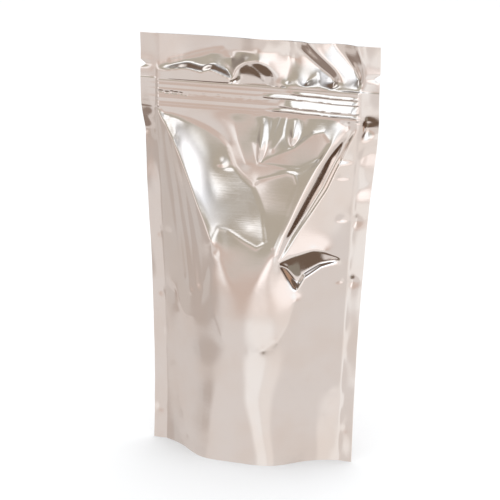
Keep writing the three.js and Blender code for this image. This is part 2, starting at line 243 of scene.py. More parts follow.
# The back film has its own folds in the same manner.
BACK_JOINTS = {
    "zip_right": (55, 184, 1),
    "collapse_foot": (14, 108, 19),
    "dent_foot": (-8, 121, 16.6),
    "zip_left": (-54, 184, 1),
    "side_left": (-52, 112, 2.6),
    "side_right": (-23, 112, 15.6),
}
BACK_CREASES = {
    "right ridge": ["zip_right", (42, 163, 7.2), (27, 133, 14.2), "collapse_foot"],
    "sill": [
        "zip_right", (34, 179, 1.6), (20, 172, 2.9), (7, 158, 5.4), (-4, 138, 11.5), "dent_foot",
        "collapse_foot",
    ],
    "left ridge": ["zip_left", (-42, 164, 6.8), (-28, 138, 12.6), (-17, 114, 17.6)],
    "left valley": ["zip_left", (-37, 165, 4.2), (-24, 139, 9.3), (-15, 116, 16.4), "dent_foot"],
    "side step": ["side_left", (-38, 119, 9.8), "side_right"],
    "side floor": ["side_left", (-38, 115, 5), "side_right"],
    "side brim": ["side_left", (-36, 101, 12.2), "side_right"],
    "tuck": [(-6, 187, 1), (-2, 166, 4), (3, 187, 1)],
}
BACK_HOLLOWS = [
    (28, 152, 11, 14, 0.05),
    (8, 136, 9, 12, 0.03),
    (-1, 178, 3, 7, 0.14),
    (-14, 158, 9, 12, 0.02),
]

FRONT_FILM = {
    "joints": FRONT_JOINTS, "creases": FRONT_CREASES, "sharp": FRONT_SHARP, "flutes": FRONT_FLUTES,
    "hollows": FRONT_HOLLOWS, "pits": FRONT_PITS, "seed": 3,
}
BACK_FILM = {
    "joints": BACK_JOINTS, "creases": BACK_CREASES, "sharp": (), "flutes": {},
    "hollows": BACK_HOLLOWS, "pits": (), "seed": 5,
}

# Folds of the header above the zip: both films lie together here, so the third number is how far
# the pair stands forward of the mid sheet.
HEADER_JOINTS = {
    "foot_blob_right": (9.5, 202.3, -0.8),
    "foot_dome": (33, 202.3, 0.2),
    "scallop_fall": (-13, 203.6, 0.75),
}
HEADER_CREASES = {
    "foot": [
        (-57, 202.3, 0.1), (-48, 202.3, 0.3), (-15, 202.3, 0.35), (-10.5, 202.8, -1.6),
        (-2, 202.3, -2), (5, 202.3, -2), "foot_blob_right", (16.5, 202.3, 0.1), (22, 202.3, 0.3),
        "foot_dome",
    ],
    "foot end": ["foot_dome", (43, 202.3, 0), (51, 202.3, -0.3), (56, 202.3, -0.1)],
    "scallop": [
        (-55, 206.3, 0.3), (-50, 206, 0.75), (-44, 207.3, 0.9), (-38, 208, 1), (-30.5, 206, 0.95),
        (-25, 208.2, 1.1), (-20, 206, 1), "scallop_fall",
    ],
    "lens": [
        (-54, 207.6, 0.1), (-46, 209.2, -0.6), (-38, 210.2, -1), (-30, 209.2, -1),
        (-24, 210.4, -1.1), (-17, 208.4, -1.4), "scallop_fall",
    ],
    "line": [
        (-56, 208.3, 0.1), (-48, 210.9, -0.9), (-40, 213.2, -1.9), (-28, 216.7, -2.7),
        (-20, 218.5, -2.9), (-10, 218, -2.2), (0, 217.6, 0), (10, 220, -2.2), (17, 224, -3.2),
    ],
    "shine": [(-26, 214.2, -1.9), (-15, 214.4, -2.6)],
    "blob": [
        "scallop_fall", (-11.3, 209.5, 0.1), (-6, 213.2, 0.8), (1, 213.8, 1.1), (6, 212, 0.4),
        (10, 207, -0.4), "foot_blob_right",
    ],
    "bright fall": [(16, 218, -3.2), (17, 212, -2.1), (16.5, 204.5, -0.8)],
    "leaf": [(19.5, 216.5, -3.2), (22.5, 209, -1.6), (21, 204.5, -0.2)],
    "band": [(18, 225, -2.6), (25, 219, -3.2), (33, 212, -3.5), (41, 206, -2.9)],
    "ridge": [(26.5, 225, 0.5), (32.5, 219.5, -0.2), (41, 213, -0.9), (46, 207, -1)],
    "trough": [(39, 225, -3.2), (45.5, 219, -3.8), (51, 212.5, -4), (54, 207.5, -2.8)],
    "rise": [(52.5, 225, 0.9), (54.5, 220.5, 0.5), (56.2, 217, 0.1)],
    "dome": [
        (26, 204, -1.2), (28.5, 207, -1.8), (33, 208.6, -2.1), (37.5, 207, -2.3), (40, 204, -1.9),
    ],
    "dome crest": [(33, 204.8, -0.5), (34, 204.8, -0.6)],
    "blob middle": [(-8.5, 206.8, -0.9), (0, 207.5, -0.7), (7, 206, -1.2)],
}

# Fine raised lines in the header.
HEADER_LINES = {
    "line": [(-48, 210.9), (-40, 213.2), (-28, 216.7), (-20, 218.5)],
    "tongue": [(-3.5, 210.8), (0, 208), (3, 204.3)],
}
HEADER_LINE_RISE = 0.22
HEADER_LINE_HALF = 1.0
HEADER_SOFTENING = 0.75

# The zip's ribs on the left part (middle, height, half width) and the steps they grow to on the
# right part (top, bottom, height, place across where they start).
ZIP_RIBS = [
    (198.2, 0.10, 0.9),
    (195.6, 0.13, 0.8),
    (191.2, 0.20, 1.1),
    (188.6, 0.10, 0.8),
]
ZIP_STEPS = [
    (200.2, 198.7, 0.55, 14),
    (197.9, 196, 0.80, 0),
    (195.4, 191.6, 1.55, 10),
    (190.6, 189.2, 0.50, 3),
]
STEP_GROWTH = 12  # a step reaches its full height over this length
STEP_END = 56
STEP_FADE = 5
ZIP_SWELL = 0.3
ZIP_PIT_UP = 194.3
ZIP_PIT_PITCH = 1.7
ZIP_DEEP_PITS_END = -38

# The zip strip itself: half thickness of its flange, air to the film at its edges, and its ribs.
ZIP_FLANGE = 0.30
ZIP_AIR = 0.3
ZIP_PROFILE_RIBS = ((191.2, 0.14, 0.8), (195.7, 0.10, 0.7))

# Where the side seals bend back: up, half height, how far at the side edge.
SEAL_CURLS = ((168, 22, 3.6), (110, 26, 1.2), (214, 9, 1.2))

# Small dimples pressed into the welded side seals: across, up, radius, depth.
SEAL_DIMPLES = [
    (-58, 118, 3, 0.5),
    (-59, 85, 3.4, 0.5),
    (-60.5, 18, 3.2, 0.35),
    (58, 134, 3, 0.7),
    (59.5, 101, 2.6, 0.6),
    (60.5, 19, 3.2, 0.35),
    (58, 168, 3.5, 0.6),
    (58.5, 182, 5, 2.8),
    (60, 60, 4, 0.3),
    (-61, 55, 4.5, 0.25),
    (-62.5, 173, 5, 1.5),
    (-60, 181, 3.5, 0.6),
    (61, 172, 4.5, 0.6),
    (60, 150, 5, 0.3),
]


# ---- Small helpers on numbers and arrays ----
def ease(t):
    """Smooth step from 0 to 1."""
    t = np.clip(t, 0.0, 1.0)
    return t * t * (3 - 2 * t)


def grow(value, start, reach):
    """Smooth step that begins at the start and is complete after the reach."""
    return ease((value - start) / reach)


def bump(value, centre, half):
    """Bell-shaped weight round a centre."""
    return np.exp(-(((value - centre) / half) ** 2))


def soft_min(a, b, blend):
    """The smaller of two heights, with the edge between them rounded over."""
    return np.minimum(a, b) - np.maximum(blend - np.abs(a - b), 0) ** 2 / (4 * blend)


def film_width(up):
    """Width of the standing pouch at a height."""
    return BASE_WIDTH + (POUCH_WIDTH - BASE_WIDTH) * np.clip(up / ZIP_LOW, 0, 1) ** 2


def puff(across, up):
    """Room between the mid sheet and one film: two side planes and a plane down from the zip meet
    in the V-shaped collapse, and melt downwards into the bell-shaped curve of the base rim."""
    side = np.minimum(np.sqrt((across / SEAL_INNER) ** 2 + RIDGE_ROUND ** 2), SIDE_LIMIT)
    bulge = BULGE_LOW - BULGE_LOSS * grow(up, 10, 105)
    sides = SIDE_RISE * (1 - side ** bulge)
    hang = ZIP_HOLD + CREASE_FALL * (ZIP_LOW - up)
    shoulder = SHOULDER_ROOM + SHOULDER_FALL * (SHOULDER_UP - up)
    hang = soft_min(soft_min(hang, shoulder, HANG_BLEND), BELLY_ROOM + 0 * up, HANG_BLEND)
    collapse = soft_min(sides, hang, BLEND_LOW - BLEND_LOSS * grow(up, 50, 65))
    power = BELL_POWER - BELL_POWER_LOSS * ease(up / BELL_CHANGE)
    centre = BELL_CENTRE - BELL_SHIFT * ease(up / BELL_CHANGE)
    bell = RIM_DEPTH / (1 + (np.abs(across - centre) / BELL_HALF) ** power)
    ends = RIM_DEPTH / (1 + ((SEAL_INNER - np.sign(across) * centre) / BELL_HALF) ** power)
    bell = np.maximum((bell - ends) * RIM_DEPTH / (RIM_DEPTH - ends), 0)
    return bell + (collapse - bell) * grow(up, 5, 80)


def polylines(creases, joints):
    """The points of every crease, with the shared corners filled in."""
    return [
        np.array([joints[point] if isinstance(point, str) else point for point in crease], float)
        for crease in creases.values()
    ]


def along_creases(lines, spacing, base):
    """Points at even steps along every crease, with their height over the plain form."""
    points = []
    for line in lines:
        for start, end in zip(line[:-1], line[1:]):
            count = max(1, int(math.ceil(np.hypot(*(end - start)[:2]) / spacing)))
            points += [start + (end - start) * k / count for k in range(count + 1)]
    points = np.array(points)
    points[:, 2] -= base(points[:, 0], points[:, 1])
    return points


def stretch(across, up, points, curve, held, start, rounds=400, close=1e-4):
    """Heights of a thin film drawn over the crease points: solves the membrane equation on the
    grid by conjugate gradients."""
    step = across[1] - across[0]
    column = (points[:, 0] - across[0]) / step
    row = (points[:, 1] - up[0]) / (up[1] - up[0])
    inside = (column >= 0) & (column < len(across) - 1) & (row >= 0) & (row < len(up) - 1)
    column, row, height = column[inside], row[inside], points[inside, 2]
    i, j = np.floor(column).astype(int), np.floor(row).astype(int)
    fi, fj = column - i, row - j
    wide = len(across)
    cells = np.stack([j * wide + i, j * wide + i + 1, (j + 1) * wide + i, (j + 1) * wide + i + 1], 1)
    share = np.stack([(1 - fi) * (1 - fj), fi * (1 - fj), (1 - fi) * fj, fi * fj], 1)
    shape = curve.shape
    free = (~held).astype(float)

    def gather(values):
        return np.bincount(cells.ravel(), values.ravel(), minlength=curve.size).reshape(shape)

    def pull(x):
        x = x * free
        y = np.zeros(shape)
        down = x[1:] - x[:-1]
        side = x[:, 1:] - x[:, :-1]
        y[1:] += down
        y[:-1] -= down
        y[:, 1:] += side
        y[:, :-1] -= side
        y += gather((x.ravel()[cells] * share).sum(1)[:, None] * CREASE_PIN * share)
        return y * free

    target = (gather(height[:, None] * CREASE_PIN * share) - curve * step * step) * free
    scale = 4 + gather(CREASE_PIN * share * share)
    x = start * free
    rest = target - pull(x)
    ready = rest / scale
    move = ready.copy()
    size = (rest * ready).sum()
    goal = close * math.sqrt((target * target).sum())
    for _ in range(rounds):
        pulled = pull(move)
        reach = size / (move * pulled).sum()
        x += reach * move
        rest -= reach * pulled
        if math.sqrt((rest * rest).sum()) < goal:
            break
        ready = rest / scale
        new_size = (rest * ready).sum()
        move = ready + new_size / size * move
        size = new_size
    return x


def resample(values, across, up, new_across, new_up):
    """The same sheet on other grid lines."""
    rows = np.array([np.interp(new_across, across, row) for row in values])
    return np.array([np.interp(new_up, up, column) for column in rows.T]).T


def soften(values, sigma):
    """Blur a grid a little, so that every crease has the film's own small radius."""
    reach = int(math.ceil(3 * sigma))
    kernel = np.exp(-0.5 * (np.arange(-reach, reach + 1) / sigma) ** 2)
    kernel /= kernel.sum()
    padded = np.pad(values, reach, mode="edge")
    padded = np.apply_along_axis(lambda line: np.convolve(line, kernel, mode="valid"), 0, padded)
    return np.apply_along_axis(lambda line: np.convolve(line, kernel, mode="valid"), 1, padded)


def folded(across, up, lines, hollows, base, free_ends=False, softening=0.9):
    """Relief of the folds over the plain form, on the given grid lines, coarse to fine."""
    relief = None
    for coarse in COARSE_TO_FINE:
        columns = np.linspace(across[0], across[-1], (len(across) - 1) // coarse + 1)
        rows = np.linspace(up[0], up[-1], (len(up) - 1) // coarse + 1)
        wide, high = np.meshgrid(columns, rows)
        curve = 0.0 * wide
        for a, b, half_across, half_up, strength in hollows:
            away = -(((wide - a) / half_across) ** 2) - ((high - b) / half_up) ** 2
            curve = curve + strength * np.exp(away)
        held = np.zeros(wide.shape, bool)
        held[:, 0] = held[:, -1] = True
        held[0] = held[-1] = not free_ends
        points = along_creases(lines, CREASE_STEP * (columns[1] - columns[0]), base)
        start = np.zeros(wide.shape)
        if relief is not None:
            start = resample(relief, last_columns, last_rows, columns, rows)
        relief = stretch(columns, rows, points, curve, held, start)
        last_columns, last_rows = columns, rows
    return soften(relief, softening)


def pits(across, up, places):
    """Small dents, steeper on their lower side: across, up, half width, half height, depth."""
    total = np.zeros(across.shape)
    for a, b, half_across, half_up, depth in places:
        tall = half_up * np.where(up > b, 1.5, 0.6)
        total += depth * np.exp(-(((across - a) / half_across) ** 2) - ((up - b) / tall) ** 2)
    return total


def ridge_lines(across, up, lines, height, half):
    """Fine raised lines where the film has been sharply creased."""
    total = np.zeros(across.shape)
    for line in lines:
        for start, end in zip(line[:-1, :2], line[1:, :2]):
            run = end - start
            share = ((across - start[0]) * run[0] + (up - start[1]) * run[1]) / (run @ run)
            share = np.clip(share, 0, 1)
            far = (across - start[0] - share * run[0]) ** 2 + (up - start[1] - share * run[1]) ** 2
            total = np.maximum(total, np.exp(-far / half ** 2))
    return height * total


def ripple(across, up, seed, size, height):
    """Faint waviness of the film: a few seeded sine waves in every direction."""
    draw = np.random.default_rng(seed)
    total = np.zeros(np.broadcast(across, up).shape)
    for _ in range(RIPPLE_WAVES):
        turn = draw.uniform(0, math.pi)
        length = size * draw.uniform(0.7, 1.6)
        phase = draw.uniform(0, 2 * math.pi)
        wave = (across * math.cos(turn) + up * math.sin(turn)) * 2 * math.pi / length
        total += np.sin(wave + phase)
    return height * total / math.sqrt(RIPPLE_WAVES)


# ---- The pouch's form on its grid ----
def zip_relief(across, up):
    """How far the zip pushes each film out: a flange whose ribs are faint on the left and grow to
    full steps on the right, with a row of small pits along the left part."""
    grown = grow(across, -2, 22)
    level = up + 0.03 * (across - 5) + 0.16 * np.sin(across / 3.7) * np.sin(across / 9.1)
    shape = 0.0 * across
    for top, bottom, height, start in ZIP_STEPS:
        share = grow(across, start, STEP_GROWTH) * ease((STEP_END - across) / STEP_FADE)
        run = np.clip((top - level) / (top - bottom), 0, 1)
        under = 0.35 + 0.55 * bump(across, start + 12, 14)
        shape = shape + share * height * run * ease((level - bottom + under) / under)
    for middle, height, half in ZIP_RIBS:
        shape = shape + (1 - grown) * height * bump(up, middle, half)
    draw = np.random.default_rng(7)
    dents = 0.0 * across
    for place in np.arange(-54, 8, ZIP_PIT_PITCH):
        spot = place + draw.uniform(-0.5, 0.5)
        height = ZIP_PIT_UP + draw.uniform(-0.7, 0.5)
        deep = draw.uniform(0.03, 0.14) + 0.35 * draw.uniform(0.2, 1) * (place < ZIP_DEEP_PITS_END)
        dents = dents + deep * np.exp(-(((across - spot) / 0.7) ** 2) - ((up - height) / 0.6) ** 2)
    band = ease((ZIP_HIGH + 0.7 - up) / 0.8)
    ends = 0.35 + 0.65 * ease((SEAL_INNER - np.abs(across)) / 2.5)
    flange = 0.16 * bump(up, ZIP_HIGH + 0.8, 0.5)
    return (ZIP_SWELL + shape - dents) * band * ends + flange


def curl(across, up, side):
    """How far a side seal bends back out of the mid sheet."""
    out = np.clip((side * across - SEAL_INNER + 2) / (SIDE_SEAL + 2), 0, 1)
    strength = 0.0 * up
    for centre, half, amount in SEAL_CURLS:
        strength = strength + amount * bump(up, centre, half)
    return strength * out ** 1.5


def middle_sheet(across, up, header):
    """Depth of the sheet midway between the films: + is towards the back."""
    splay = TOE_LEFT * ease((-across - 30) / 25) + TOE_RIGHT * grow(across, 30, 25)
    toe = np.clip(1 - up / 60, 0, 1) ** 2 * splay
    bends = curl(across, up, 1) + curl(across, up, -1)
    seal = ease((np.abs(across) - SEAL_INNER) / 2)
    dimples = 0.0 * across
    for a, b, radius, depth in SEAL_DIMPLES:
        dimples = dimples + depth * np.exp(-(((across - a) ** 2 + (up - b) ** 2) / radius ** 2))
    crinkle = ripple(across, up, seed=11, size=15, height=0.16)
    return bends - toe - header + seal * (dimples + crinkle)


class Grid:
    """Grid lines over the flat film and every sheet's depth on them, in millimetres."""

    panel_cells = 175
    body_cells = 290
    seal_cells = 8
    zip_cells = 60
    header_cells = 28

    def __init__(self, film, lip_gap):
        self.film = film
        panel = np.linspace(-SEAL_INNER, SEAL_INNER, self.panel_cells + 1)
        seal = np.linspace(SEAL_INNER, POUCH_WIDTH / 2, self.seal_cells + 1)[1:]
        self.across = np.concatenate([-seal[::-1], panel, seal])
        body = np.linspace(0, ZIP_LOW, self.body_cells + 1)
        zipped = np.linspace(ZIP_LOW, ZIP_HIGH + 1, self.zip_cells + 1)
        header = np.linspace(ZIP_HIGH + 1, POUCH_HEIGHT, self.header_cells + 1)
        self.up = np.concatenate([body, zipped[1:], header[1:]])
        self.zip_first = len(body) - 1
        self.left = self.seal_cells
        self.right = self.seal_cells + self.panel_cells
        self.wide, self.high = np.meshgrid(self.across, self.up)

        top = (slice(len(body) + len(zipped) - 2, None), slice(self.left, self.right + 1))
        lines = polylines(HEADER_CREASES, HEADER_JOINTS)
        fine = polylines(HEADER_LINES, {})
        ripples = np.zeros(self.wide.shape)
        ripples[top] = folded(
            panel, header, lines, (), lambda a, b: 0 * a, free_ends=True, softening=HEADER_SOFTENING
        )
        ripples[top] += ridge_lines(
            self.wide[top], self.high[top], fine, HEADER_LINE_RISE, HEADER_LINE_HALF
        )
        self.middle = middle_sheet(self.wide, self.high, ripples)
        front = self.room(panel, body, FRONT_FILM)
        back = self.room(panel, body, BACK_FILM)
        self.back = np.maximum(back, LEAST_ROOM - front)
        parted = bump(self.wide, 8, 13) * np.clip((self.high - 204) / 21, 0, 1) ** 2
        self.front = front + lip_gap * parted * (self.high > ZIP_HIGH)

    def room(self, panel, body, film):
        """Room between the mid sheet and the inside of one film."""
        room = np.zeros(self.wide.shape)
        inside = slice(self.left, self.right + 1)
        wide, high = self.wide[: len(body), inside], self.high[: len(body), inside]
        joints, creases = film["joints"], film["creases"]
        sharp = polylines({name: creases[name] for name in film["sharp"]}, joints)
        relief = folded(panel, body, polylines(creases, joints), film["hollows"], puff)
        relief = relief - pits(wide, high, film["pits"])
        relief = relief + ridge_lines(wide, high, sharp, SHARP_RISE, SHARP_HALF)
        relief = relief - ridge_lines(wide, high, polylines(film["flutes"], {}), FLUTE_DEPTH, FLUTE_HALF)
        calm = ease((SEAL_INNER - np.abs(wide)) / 6) * ease(high / 10) * ease((ZIP_LOW - high) / 6)
        waves = ripple(wide, high, film["seed"], size=26, height=0.10) * calm
        room[: len(body), inside] = puff(wide, high) + relief + waves
        room = np.where((self.high <= ZIP_LOW) & (np.abs(self.wide) < SEAL_INNER), room, 0)
        inner = ease((SEAL_INNER - np.abs(self.wide)) / 2)
        foot = 0.45 + 0.25 * ease((ZIP_LOW + 2.5 - self.high) / 2.5)
        zipped = zip_relief(self.wide, self.high) + foot * inner
        lips = (LIP_ROOM + 0.27 * ease((206 - self.high) / 4.5)) * inner
        over = np.where(self.high > ZIP_HIGH + 0.9, lips, np.maximum(zipped, lips))
        return np.where(self.high <= ZIP_LOW - 0.1, room, np.maximum(room, over))

    def edge(self):
        """Places across on the standing pouch, with the tear notches cut into both side edges."""
        bite = np.clip(1 - np.abs(self.high - NOTCH_UP) / (NOTCH_SIZE / 2), 0, 1)
        bite = NOTCH_SIZE * bite ** 0.6
        out = np.clip((np.abs(self.wide) - SEAL_INNER) / SIDE_SEAL, 0, 1)
        return np.sign(self.wide) * (np.abs(self.wide) * film_width(self.high) / POUCH_WIDTH - bite * out)


class Skin:
    """Collects points and faces, then becomes one mesh."""

    def __init__(self):
        self.points = []
        self.faces = []
        self.count = 0

    def add_points(self, x, y, z):
        """Points of a grid; gives their numbers in the same layout."""
        block = np.stack([np.asarray(v, float).ravel() for v in np.broadcast_arrays(x, y, z)], 1)
        first = self.count
        self.points.append(block)
        self.count += len(block)
        return first + np.arange(len(block)).reshape(np.broadcast(x, y, z).shape)

    def add_sheet(self, names, flip=False):
        """Quads over a grid of point numbers."""
        a, b, c, d = names[:-1, :-1], names[:-1, 1:], names[1:, 1:], names[1:, :-1]
        quads = np.stack([a, b, c, d], -1).reshape(-1, 4)
        self.faces.append(quads[:, ::-1] if flip else quads)

    def add_strip(self, first, second, flip=False):
        """Quads between two rows of point numbers."""
        self.add_sheet(np.stack([first, second]), flip)

    def build(self, name, merge=0.0):
        """One object from all that was added, its points closer than merge joined."""
        points = np.concatenate(self.points) * MM
        faces = np.concatenate(self.faces)
        mesh = bpy.data.meshes.new(name)
        mesh.from_pydata(points.tolist(), [], faces.tolist())
        mesh.validate()
        if len(mesh.polygons) < len(faces):
            raise RuntimeError(f"{name}: the mesh has bad faces")
        piece = bpy.data.objects.new(name, mesh)
        bpy.context.scene.collection.objects.link(piece)
        if merge:
            work = bmesh.new()
            work.from_mesh(mesh)
            bmesh.ops.remove_doubles(work, verts=work.verts, dist=merge * MM)
            bmesh.ops.dissolve_degenerate(work, edges=work.edges, dist=merge * MM)
            bmesh.ops.recalc_face_normals(work, faces=work.faces)
            work.to_mesh(mesh)
            work.free()
        return piece


def add_base(skin, grid, x, front, back):
    """The base: a narrow rim, then the web arching up to its centre fold."""
    inside = slice(grid.left, grid.right + 1)
    panel = x[0, inside]
    depth_front = np.maximum(grid.front[0, inside] - RIM_LIP, 0)
    depth_back = np.maximum(grid.back[0, inside] - RIM_LIP, 0)
    mean = (depth_front + depth_back) / 2
    crest = np.sqrt(GUSSET_LEG ** 2 - mean ** 2) - WEB_SAG * np.clip(mean / 20, 0, 1)
    sweep = np.linspace(-1, 1, WEB_ROWS)
    hill = 1 - (np.sqrt(sweep ** 2 + FOLD_ROUND ** 2) - FOLD_ROUND) / (
        math.sqrt(1 + FOLD_ROUND ** 2) - FOLD_ROUND
    )
    hill[0] = hill[-1] = 0
    y = np.where(sweep[:, None] < 0, sweep[:, None] * depth_front, sweep[:, None] * depth_back)
    flex = 0.5 * np.sin(panel[None, :] * 0.33 + sweep[:, None] * 2.2) * hill[:, None] * (mean > 1)
    high = crest[None, :] * hill[:, None] + flex
    sheets = grid.middle[:, inside].T
    lean = np.stack([np.interp(column, grid.up, sheet) for column, sheet in zip(high.T, sheets)], 1)
    web = skin.add_points(panel[None, :], lean + y, high)
    skin.add_sheet(web)
    skin.add_strip(web[0], front[0, inside])
    skin.add_strip(back[0, inside], web[-1])


def build_film(grid):
    """The whole film: front, back, seals, both top lips, the rim and the arched base web."""
    skin = Skin()
    x = grid.edge()
    front = skin.add_points(x, grid.middle - grid.front - grid.film, grid.high)
    back = skin.add_points(x, grid.middle + grid.back + grid.film, grid.high)
    skin.add_sheet(front)
    skin.add_sheet(back, True)

    # edges of the side seals
    skin.add_strip(front[:, 0], back[:, 0])
    skin.add_strip(front[:, -1], back[:, -1], True)

    # the mouth: inner faces of both lips, down to the foot of the zip
    inside = slice(grid.left, grid.right + 1)
    rows = [*range(grid.zip_first, len(grid.up) - 1, 2), len(grid.up) - 1]
    lips = (x[rows, inside], grid.high[rows, inside])
    near = skin.add_points(lips[0], (grid.middle - grid.front)[rows, inside], lips[1])
    far = skin.add_points(lips[0], (grid.middle + grid.back)[rows, inside], lips[1])
    skin.add_sheet(near, True)
    skin.add_sheet(far)
    skin.add_strip(near[0], far[0], True)
    skin.add_strip(front[-1, inside], near[-1])
    skin.add_strip(far[-1], back[-1, inside])

    add_base(skin, grid, x, front, back)

    # feet and tops of the side seals
    for columns in (slice(0, grid.left + 1), slice(grid.right, None)):
        sole = skin.add_points(x[0, columns], grid.middle[0, columns], 0)
        skin.add_strip(sole, front[0, columns])
        skin.add_strip(back[0, columns], sole)
        brow = skin.add_points(x[-1, columns], grid.middle[-1, columns], POUCH_HEIGHT)
        skin.add_strip(front[-1, columns], brow)
        skin.add_strip(brow, back[-1, columns])
    return skin.build("pouch_film", merge=MERGE_REACH)


def build_zip(grid):
    """Both halves of the press-to-close zip, pressed together: a flange with two ribs on each."""
    skin = Skin()
    columns = slice(grid.left + 4, grid.right - 3)
    across = grid.across[columns]
    profile_up = np.linspace(ZIP_LOW + ZIP_AIR, ZIP_HIGH - ZIP_AIR, 43)
    wide, high = np.meshgrid(across, profile_up)
    x = wide * film_width(high) / POUCH_WIDTH
    lean = np.interp(across, grid.across, grid.middle[grid.zip_first + 4])[None, :]
    swell = ZIP_FLANGE
    for middle, height, half in ZIP_PROFILE_RIBS:
        swell = swell + height * bump(high, middle, half)
    front = skin.add_points(x, lean - swell, high)
    back = skin.add_points(x, lean + swell, high)
    skin.add_sheet(front)
    skin.add_sheet(back, True)
    skin.add_strip(front[:, 0], back[:, 0])
    skin.add_strip(front[:, -1], back[:, -1], True)
    skin.add_strip(front[0], back[0], True)
    skin.add_strip(front[-1], back[-1])
    return skin.build("zip_profile")


def finish_piece(piece, node, material, sharp_deg):
    """Shading, material and place in the frame of one piece."""
    mesh = piece.data
    mesh.shade_smooth()
    mesh.set_sharp_from_angle(angle=math.radians(sharp_deg))
    mesh.materials.clear()
    mesh.materials.append(material)
    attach(piece, "root")
    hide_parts(node)


# ---- Materials ----
DRAW_LINES = (60, 60, 2600)  # waves per metre of the film's fine level lines
WARM_SHADE = (0.985, 0.955, 0.93)
HAZE_ROUGHNESS = 0.05
SCUFF_ROUGHNESS = 0.03
ZIP_SHADE = (0.80, 0.79, 0.76)
ZIP_PALE = (0.88, 0.87, 0.85)


class Nodes:
    """Adds shader nodes to a tree in few words."""

    def __init__(self, tree):
        self.tree = tree
        tree.nodes.clear()

    def add(self, kind, **settings):
        """One node with its settings; its inputs are values or other nodes' sockets."""
        node = self.tree.nodes.new(kind)
        inputs = settings.pop("inputs", {})
        for key, value in settings.items():
            setattr(node, key, value)
        for key, value in inputs.items():
            if hasattr(value, "links"):
                self.tree.links.new(value, node.inputs[key])
            else:
                node.inputs[key].default_value = value
        return node

    def math(self, operation, a, b=0.0):
        """One sum on two values."""
        return self.add("ShaderNodeMath", operation=operation, inputs={0: a, 1: b}).outputs[0]

    def spread(self, value, low, high, to_low=0.0, to_high=1.0):
        """A value's range spread over another one, with soft ends."""
        node = self.add(
            "ShaderNodeMapRange",
            interpolation_type="SMOOTHSTEP",
            inputs={"Value": value, "From Min": low, "From Max": high, "To Min": to_low, "To Max": to_high},
        )
        return node.outputs["Result"]

    def blend(self, share, a, b):
        """Mix of two colours."""
        node = self.add("ShaderNodeMix", data_type="RGBA")
        for key, value in ((0, share), (6, a), (7, b)):
            if hasattr(value, "links"):
                self.tree.links.new(value, node.inputs[key])
            else:
                node.inputs[key].default_value = value
        return node.outputs[2]

    def finish(self, shader, kind="ShaderNodeOutputMaterial"):
        """Join the finished shader to an output node."""
        out = self.add(kind)
        self.tree.links.new(shader.outputs[0], out.inputs["Surface"])


def new_material(name):
    """A node material, its nodes and the object's own coordinates."""
    material = bpy.data.materials.new(name)
    material.use_nodes = True
    nodes = Nodes(material.node_tree)
    return material, nodes, nodes.add("ShaderNodeTexCoord").outputs["Object"]


def film_material(look):
    """Warm silver metallised film: near mirror, fine level draw lines, faint haze and scuffs."""
    material, nodes, place = new_material("metallised_film")
    stretched = nodes.add("ShaderNodeMapping", inputs={"Vector": place, "Scale": DRAW_LINES})
    lines = nodes.add(
        "ShaderNodeTexNoise",
        inputs={"Vector": stretched.outputs[0], "Scale": 1.0, "Detail": 3.0, "Roughness": 0.6},
    ).outputs["Fac"]
    haze = nodes.add("ShaderNodeTexNoise", inputs={"Vector": place, "Scale": 38.0, "Detail": 4.0})
    haze = haze.outputs["Fac"]
    peel = nodes.add("ShaderNodeTexNoise", inputs={"Vector": place, "Scale": 420.0, "Detail": 2.0})
    scuffs = nodes.add(
        "ShaderNodeTexVoronoi", feature="DISTANCE_TO_EDGE", inputs={"Vector": place, "Scale": 95.0}
    )
    worn = nodes.spread(scuffs.outputs["Distance"], 0.0, 0.035, 1.0, 0.0)

    warmer = [channel * share for channel, share in zip(look.film_colour, WARM_SHADE)]
    tint = nodes.blend(nodes.spread(haze, 0.35, 0.7), (*look.film_colour, 1), (*warmer, 1))
    rough = nodes.math(
        "ADD",
        nodes.spread(haze, 0.3, 0.75, look.film_roughness, look.film_roughness + HAZE_ROUGHNESS),
        nodes.math("MULTIPLY", worn, SCUFF_ROUGHNESS),
    )
    rough = nodes.math("ADD", rough, nodes.spread(lines, 0.45, 0.75, 0.0, HAZE_ROUGHNESS))

    fine = nodes.add("ShaderNodeBump", inputs={"Height": lines, "Strength": 0.18, "Distance": 0.00005})
    coarse = nodes.add(
        "ShaderNodeBump",
        inputs={
            "Height": peel.outputs["Fac"],
            "Strength": 0.06,
            "Distance": 0.0002,
            "Normal": fine.outputs[0],
        },
    )
    shader = nodes.add(
        "ShaderNodeBsdfPrincipled",
        inputs={"Base Color": tint, "Metallic": 1.0, "Roughness": rough, "Normal": coarse.outputs[0]},
    )
    nodes.finish(shader)
    return material


def zip_material():
    """Milky polyethylene of the zip strip."""
    material, nodes, place = new_material("zip_plastic")
    cloud = nodes.add("ShaderNodeTexNoise", inputs={"Vector": place, "Scale": 120.0, "Detail": 3.0})
    cloud = cloud.outputs["Fac"]
    tint = nodes.blend(nodes.spread(cloud, 0.3, 0.7), (*ZIP_SHADE, 1), (*ZIP_PALE, 1))
    rough = nodes.spread(cloud, 0.3, 0.7, 0.32, 0.42)
    bumps = nodes.add("ShaderNodeBump", inputs={"Height": cloud, "Strength": 0.1, "Distance": 0.0002})
    shader = nodes.add(
        "ShaderNodeBsdfPrincipled",
        inputs={"Base Color": tint, "Roughness": rough, "Normal": bumps.outputs[0]},
    )
    nodes.finish(shader)
    return material


# ---- Studio ----
FLOOR_REACH = 8000  # millimetres
FLOOR_DROP = 0.02
FLOOR_GRAIN = 0.99
OVERHEAD_SIZE = 3.0  # metres
OVERHEAD_PLACE = (0.1, -0.15, 1.9)

